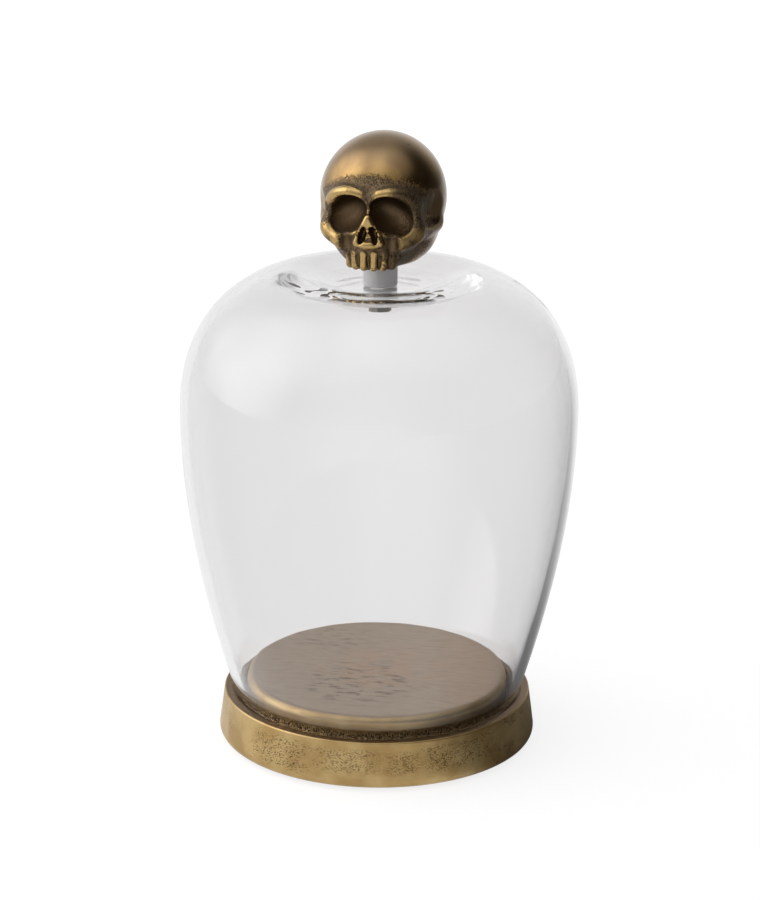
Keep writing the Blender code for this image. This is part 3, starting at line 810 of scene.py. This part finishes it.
# %% [markdown]
# ### Brass for the skull
# The skull has the same metal, but its finish follows its shape. The crown is smooth and brown, and a
# little greyer at the top. The face keeps its rough, dark casting skin up to an arch on the forehead,
# where the polishing wheel stopped, except on the ridges, which are rubbed bright. Its left side, on
# the right for someone facing it, has painted shade: it is darker lower down, and its ridges are less
# bright. The hollows are the darkest, with painted light low in the eye sockets and a painted highlight
# on the lower outer edge of the left socket. A single pinhole from the casting is left on the crown.

# %% Brass for the skull
SKULL_GOLD = (0.38, 0.235, 0.082)
SKULL_BROWN = (0.29, 0.172, 0.066)
SKULL_TOP = (0.32, 0.220, 0.125)
# Painted shade: the colour of the skull's left side, on the right for someone facing it.
SKULL_PAINTED_SHADE = (0.105, 0.067, 0.034)
SKULL_WORN = (0.48, 0.325, 0.125)
SKIN_DARK = (0.075, 0.052, 0.031)
SKIN_LIGHT = (0.22, 0.155, 0.088)
# The hollows' dark patina; lower down they take painted light, and the left socket a painted highlight.
HOLLOW_DARK = (0.080, 0.053, 0.030)
HOLLOW_PAINTED_LIGHT = (0.170, 0.112, 0.060)
SOCKET_PAINTED_HIGHLIGHT = (0.42, 0.290, 0.160)
# Where each zone is absent and where it is full, across the face or up from the seat
# The ends below are painted shade: they cut the rubbed brightness of the brows, cheeks and teeth towards the
# skull's left side.
BROW_UP, BROW_ACROSS, BROW_SHADED_END = (0.0310, 0.0340), (0.0016, 0.0042), (0.0160, 0.0080)
NOSE_UP, NOSE_ACROSS = (0.0340, 0.0300), (0.0088, 0.0074)
CHEEK_UP, CHEEK_ACROSS, CHEEK_SHADED_END = (0.0228, 0.0205), (0.0138, 0.0165), (0.0, 0.010)
TEETH_UP, TEETH_SHADED_END = (0.0095, 0.0070), (0.0060, 0.0)
TOP_UP = (0.044, 0.060)
# Painted shade on the skull's left side, deeper lower down.
SHADED_SIDE_UP, SHADED_SIDE_ACROSS = (0.056, 0.034), (0.0060, 0.0220)
# Painted light: below these heights the hollows grow lighter, as where light reaches the socket floors.
PAINTED_LIGHT_UP = (0.034, 0.022)
# Painted highlight on the lower outer edge of the left socket.
SOCKET_HIGHLIGHT_UP, SOCKET_HIGHLIGHT_ACROSS = (0.0310, 0.0240), (0.0110, 0.0180)
FACE_BACK = (-0.005, -0.013)  # where the rough skin ends, back from the stud
ARCH_TOP = 0.0478
ARCH_FADE = 0.0025
ARCH_BEND = 14.0  # how fast the arch of rough skin falls away to the sides
ARCH_RAGGED = 0.012
ZONE_WANDER = 0.014  # how far the zones' edges wander
PINHOLE = (0.0143, -0.0026, SKULL_SEAT + 0.0579)
PINHOLE_EDGE = (0.0008, 0.0005)
GRAIN_SHIFT = (0.0, 0.0, -0.0032)  # where the grain is read, so that the edge of the rough skin breaks well

skull_brass, tree, shader = finish_named("skull_brass")
here = node(tree, "TexCoord").outputs["Object"]
x, y, z = node(tree, "SeparateXYZ", Vector=here).outputs
hollow, ridge = (node(tree, "Attribute", {"attribute_name": name}).outputs["Fac"] for name in ("hollow", "worn"))
across = math_node(tree, "ABSOLUTE", x)
up = minus(tree, z, SKULL_SEAT)
grained = node(tree, "Mapping", Vector=here, Location=GRAIN_SHIFT).outputs[0]
slow = noise_at(tree, grained, 90.0)
grain = noise_at(tree, stretched(tree, grained, (1.0, 1.0, 0.6)), 1500.0, 3.0, 0.65)
specks = ranged(tree, noise_at(tree, grained, 700.0, 3.0, 0.6), 0.66, 0.72)
wander = times(tree, minus(tree, noise_at(tree, grained, 420.0, 4.0, 0.7), 0.5), ZONE_WANDER)
uneven_x, uneven_across, uneven_up = (plus(tree, value, wander) for value in (x, across, up))

# Each zone's end cuts its rubbed brightness on the shaded side, as painted shade.
brows = times(tree, ranged(tree, uneven_up, *BROW_UP), ranged(tree, across, *BROW_ACROSS),
              ranged(tree, uneven_x, *BROW_SHADED_END, 0.15, 1.0))
nose = times(tree, ranged(tree, uneven_across, *NOSE_ACROSS), ranged(tree, uneven_up, *NOSE_UP))
cheeks = times(tree, ranged(tree, uneven_across, *CHEEK_ACROSS), ranged(tree, uneven_up, *CHEEK_UP),
               ranged(tree, x, *CHEEK_SHADED_END, 1.0, 0.7))
teeth = times(tree, ranged(tree, up, *TEETH_UP), ranged(tree, uneven_x, *TEETH_SHADED_END, 0.25, 0.8))
patchy = plus(tree, ridge, times(tree, wander, 70.0))
# Rubbed wear on the ridges, cut by painted shade on the skull's left side.
worn = times(tree, ranged(tree, patchy, 0.15, 1.05), most(tree, brows, nose, cheeks, teeth))
# Painted shade: the skull's left side, on the right for someone facing it, darker lower down; its coat is thinner
# there too.
painted_shade_side = times(tree, ranged(tree, uneven_x, *SHADED_SIDE_ACROSS), ranged(tree, up, *SHADED_SIDE_UP, 0.0, 0.75))

arch = plus(tree, up, times(tree, x, x, ARCH_BEND), times(tree, minus(tree, grain, 0.5), ARCH_RAGGED))
rough = times(tree, ranged(tree, arch, ARCH_TOP, ARCH_TOP - ARCH_FADE), ranged(tree, y, *FACE_BACK),
              minus(tree, 1.0, worn))
pinhole = ranged(tree, distance_to(tree, here, PINHOLE), *PINHOLE_EDGE)
dark = ranged(tree, plus(tree, hollow, times(tree, grain, 0.3)), 0.3, 0.9, 0.0, 0.85)
# Painted highlight on the lower outer edge of the left socket, on the right for someone facing it.
socket_highlight_mask = times(tree, ranged(tree, x, *SOCKET_HIGHLIGHT_ACROSS), ranged(tree, up, *SOCKET_HIGHLIGHT_UP),
                    ranged(tree, grain, 0.38, 0.60))

colour = colour_mix(tree, ranged(tree, slow, 0.35, 0.65), SKULL_GOLD, SKULL_BROWN)
colour = colour_mix(tree, ranged(tree, up, *TOP_UP, 0.0, 0.8), colour, SKULL_TOP)
colour = colour_mix(tree, times(tree, specks, 0.5), colour, BRASS_BROWN)
colour = colour_mix(tree, painted_shade_side, colour, SKULL_PAINTED_SHADE)
colour = colour_mix(tree, worn, colour, SKULL_WORN)
skin_colour = colour_mix(tree, ranged(tree, grain, 0.40, 0.64), SKIN_DARK, SKIN_LIGHT)
colour = colour_mix(tree, rough, colour, skin_colour)
# Painted light: the hollows lighter low down, where light falls into the sockets.
hollow_colour = colour_mix(tree, ranged(tree, up, *PAINTED_LIGHT_UP), HOLLOW_DARK, HOLLOW_PAINTED_LIGHT)
hollow_colour = colour_mix(tree, socket_highlight_mask, hollow_colour, SOCKET_PAINTED_HIGHLIGHT)
colour = colour_mix(tree, most(tree, dark, pinhole), colour, hollow_colour)
relief = times(tree, grain, ranged(tree, rough, 0.0, 0.6, 0.06, 1.0), ranged(tree, hollow, 0.0, 1.0, 1.0, 0.4))
dull = most(tree, rough, hollow)
lacquer = ranged(tree, most(tree, dull, painted_shade_side), 0.0, 0.5, 0.25, 0.03)
set_on(tree, shader, Base_Color=colour, Roughness=ranged(tree, dull, 0.0, 0.7, 0.21, 0.48), Metallic=1.0,
       Normal=bumped(tree, minus(tree, relief, pinhole), 0.6, 0.0005), Coat_Weight=lacquer, Coat_Roughness=0.22)
skull.data.materials.append(skull_brass)
print("skull finish nodes:", len(tree.nodes))

# %% [markdown]
# ### Glass
# The bell is clear, with a trace of grey, and its mould left slow ripples. Light reaches through it by
# a Transparent shader that only shadow rays see, or everything under the bell would be in the dark.

# %% Clear glass
GLASS_TINT = (0.886, 0.880, 0.883)
SHADOW_TINT = (0.9, 0.9, 0.9)

clear_glass, tree, shader = finish_named("clear_glass")
here = node(tree, "TexCoord").outputs["Object"]
ripple = noise_at(tree, stretched(tree, here, (1.0, 1.0, 0.35)), 26.0, 2.0)
set_on(tree, shader, Base_Color=GLASS_TINT, Roughness=0.0, IOR=1.47, Transmission_Weight=1.0,
       Normal=bumped(tree, ripple, 0.12, 0.002))
lit_through = node(tree, "BsdfTransparent", Color=SHADOW_TINT)
mixed = node(tree, "MixShader", i0=node(tree, "LightPath").outputs["Is Shadow Ray"], i1=shader.outputs[0],
             i2=lit_through.outputs[0])
tree.links.new(mixed.outputs[0], tree.nodes["Material Output"].inputs["Surface"])
bell.data.materials.append(clear_glass)
print("glass finish nodes:", len(tree.nodes))

# %% [markdown]
# ### Small parts
# The sleeve and the washer are clouded silicone, the lining is natural nylon, the stud and the nut are
# dull scuffed steel, and a pad of black felt under the base keeps it from scratching a shelf. One noise
# is enough for each: it clouds the rubber, scuffs the steel and makes the fibres of the felt.

# %% Rubber, nylon, steel and felt
silicone, tree, shader = finish_named("clear_silicone")
cloud = noise_at(tree, node(tree, "TexCoord").outputs["Object"], 300.0, 2.0)
set_on(tree, shader, Base_Color=colour_mix(tree, cloud, (0.88, 0.875, 0.87), (0.94, 0.935, 0.93)), Roughness=0.35,
       IOR=1.41, Transmission_Weight=0.25)

nylon, tree, shader = finish_named("lining_nylon")
cloud = noise_at(tree, node(tree, "TexCoord").outputs["Object"], 400.0)
set_on(tree, shader, Base_Color=colour_mix(tree, cloud, (0.74, 0.73, 0.69), (0.80, 0.79, 0.75)), Roughness=0.4)

steel, tree, shader = finish_named("dull_steel")
scuff = noise_at(tree, node(tree, "TexCoord").outputs["Object"], 1100.0, 4.0, 0.65)
set_on(tree, shader, Base_Color=colour_mix(tree, scuff, (0.20, 0.18, 0.16), (0.34, 0.32, 0.29)), Metallic=1.0,
       Roughness=ranged(tree, scuff, 0.3, 0.7, 0.32, 0.5))

felt, tree, shader = finish_named("black_felt")
fibres = noise_at(tree, node(tree, "TexCoord").outputs["Object"], 2200.0, 4.0, 0.7)
set_on(tree, shader, Base_Color=colour_mix(tree, fibres, (0.012, 0.012, 0.012), (0.05, 0.05, 0.05)), Roughness=0.95,
       Normal=bumped(tree, fibres, 0.6, 0.0003))

felt_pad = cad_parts["felt_pad"]
felt_pad.data.materials.clear()
for piece, finish in ((sleeve, silicone), (washer, silicone), (bush, nylon), (stud, steel), (nut, steel),
                      (felt_pad, felt)):
    piece.data.materials.append(finish)
    print(f"{piece.name}: {finish.name}")

# %% [markdown]
# ## Floor and light
# The photograph has a plain white ground and soft light from the upper left. The floor glows a little
# for the camera, and for what is seen in glass and metal, so that it reads as white, and the rest of its
# brightness is real light, which leaves the shadow. Mirrored in metal or glass it grows darker towards
# the right, as the floor of a room does away from its windows.

# %% Floor
FLOOR_GREY = (0.24, 0.24, 0.24)
FLOOR_GLOW = 0.82
FLOOR_DROP = 0.0002  # under the felt, so that the two faces don't share a plane
DIMMED_FROM, DIMMED_TO = (0.35, 0.12), (0.90, 1.0)  # how far to the right, and the share taken away


def from_camera(right, toward, up):
    """A direction told as the camera sees it."""
    return Matrix.Rotation(CAMERA_TURN, 3, "Z") @ Vector((right, -toward, up)).normalized()


def along(tree, vector, axis):
    return node(tree, "VectorMath", {"operation": "DOT_PRODUCT"}, i0=vector, i1=axis).outputs["Value"]


floor_mesh = bmesh.new()
bmesh.ops.create_grid(floor_mesh, x_segments=1, y_segments=1, size=12.0)
floor_data = bpy.data.meshes.new("floor")
floor_mesh.to_mesh(floor_data)
floor_mesh.free()
floor = bpy.data.objects.new("floor", floor_data)
floor.location.z = -FLOOR_DROP
bpy.context.collection.objects.link(floor)

white_floor, tree, shader = finish_named("white_floor")
path = node(tree, "LightPath").outputs
here = node(tree, "TexCoord").outputs["Object"]
outward = node(tree, "VectorMath", {"operation": "NORMALIZE"}, i0=here).outputs[0]
rightward = along(tree, outward, from_camera(1.0, 0.0, 0.0))
mirrored = math_node(tree, "MINIMUM", path["Glossy Depth"], 1.0)
dimmed = times(tree, mirrored, ranged(tree, rightward, DIMMED_FROM[0], DIMMED_TO[0], DIMMED_FROM[1], DIMMED_TO[1]))
seen = most(tree, path["Is Camera Ray"], path["Is Transmission Ray"], path["Is Glossy Ray"])
set_on(tree, shader, Base_Color=FLOOR_GREY, Roughness=0.9, Specular_IOR_Level=0.0, Emission_Color=(1.0, 1.0, 1.0),
       Emission_Strength=times(tree, seen, minus(tree, 1.0, dimmed), FLOOR_GLOW))
floor_data.materials.append(white_floor)
print("floor, across in m:", round(floor.dimensions.x, 1))

# %% [markdown]
# ### A room of soft boxes
# There are no lamps: the light comes from the world, as a room of soft boxes. It has a pale wall behind,
# boxes overhead and at the left, and a dark side at the right for the metal to show its shape.
# Everything fades softly, so the glass shows no lamp's edge. The camera sees plain white where it looks
# past the object or straight through the glass, and the room itself only shows as a reflection. Thick
# glass passes light on many times before it comes out, so the limit on bounces is high.

# %% World of soft boxes
ROOM_LEVEL, DARK_LEVEL = 0.50, 0.04
WALL_LEVEL = 0.95
HORIZON_LEVEL, DARK_HORIZON_LEVEL = 0.82, 0.08
WALL_FADE = (0.70, 0.10)  # heights on a ball of one metre round the viewer
HORIZON_FADE = (0.30, 0.0)
# Soft boxes: direction as the camera sees it, degrees to their edge, strength
SOFT_BOXES = (((-0.45, 0.20, 0.87), 45, 0.6), ((0.25, 0.20, 0.95), 42, 0.5), ((-0.85, -0.10, 0.50), 44, 1.35),
              ((-1.0, 0.1, 0.30), 32, 0.7))
BOX_CORE = 5  # degrees
NEAR_GLASS_SHARE = 0.6  # of white, for what is mirrored and then seen through one wall of glass
BOUNCES = 200


def facing(tree, direction, axis, wide, narrow):
    """1 within a narrow angle of an axis, falling softly to 0 at a wide one."""
    return ranged(tree, along(tree, direction, axis), math.cos(math.radians(wide)), math.cos(math.radians(narrow)))


world = bpy.data.worlds.new("studio")
bpy.context.scene.world = world
world.use_nodes = True
tree = world.node_tree
direction = node(tree, "TexCoord").outputs["Generated"]
up = node(tree, "SeparateXYZ", Vector=direction).outputs[2]
dark_side = facing(tree, direction, from_camera(0.97, 0.10, 0.20), 82, 38)
wall_behind = facing(tree, direction, from_camera(-0.50, -1.0, 0.15), 88, 20)
level = blended(tree, dark_side, ROOM_LEVEL, DARK_LEVEL)
level = blended(tree, times(tree, wall_behind, ranged(tree, up, *WALL_FADE)), level, WALL_LEVEL)
horizon = blended(tree, dark_side, HORIZON_LEVEL, DARK_HORIZON_LEVEL)
level = blended(tree, ranged(tree, up, *HORIZON_FADE), level, horizon)
for axis, wide, strength in SOFT_BOXES:
    level = plus(tree, level, times(tree, facing(tree, direction, from_camera(*axis), wide, BOX_CORE), strength))

path = node(tree, "LightPath").outputs
near_glass = times(tree, math_node(tree, "LESS_THAN", path["Transmission Depth"], 2.5), NEAR_GLASS_SHARE)
unmirrored = math_node(tree, "LESS_THAN", path["Glossy Depth"], 0.5)
through = times(tree, path["Is Transmission Ray"], most(tree, near_glass, unmirrored))
seen = most(tree, path["Is Camera Ray"], through)
set_on(tree, tree.nodes["Background"], Color=(1.0, 1.0, 1.0), Strength=blended(tree, seen, level, 1.0))
bpy.context.scene.view_settings.view_transform = "Standard"
for limit in ("max_bounces", "glossy_bounces", "transmission_bounces"):
    setattr(bpy.context.scene.cycles, limit, BOUNCES)
print("soft boxes:", len(SOFT_BOXES), "world nodes:", len(tree.nodes))
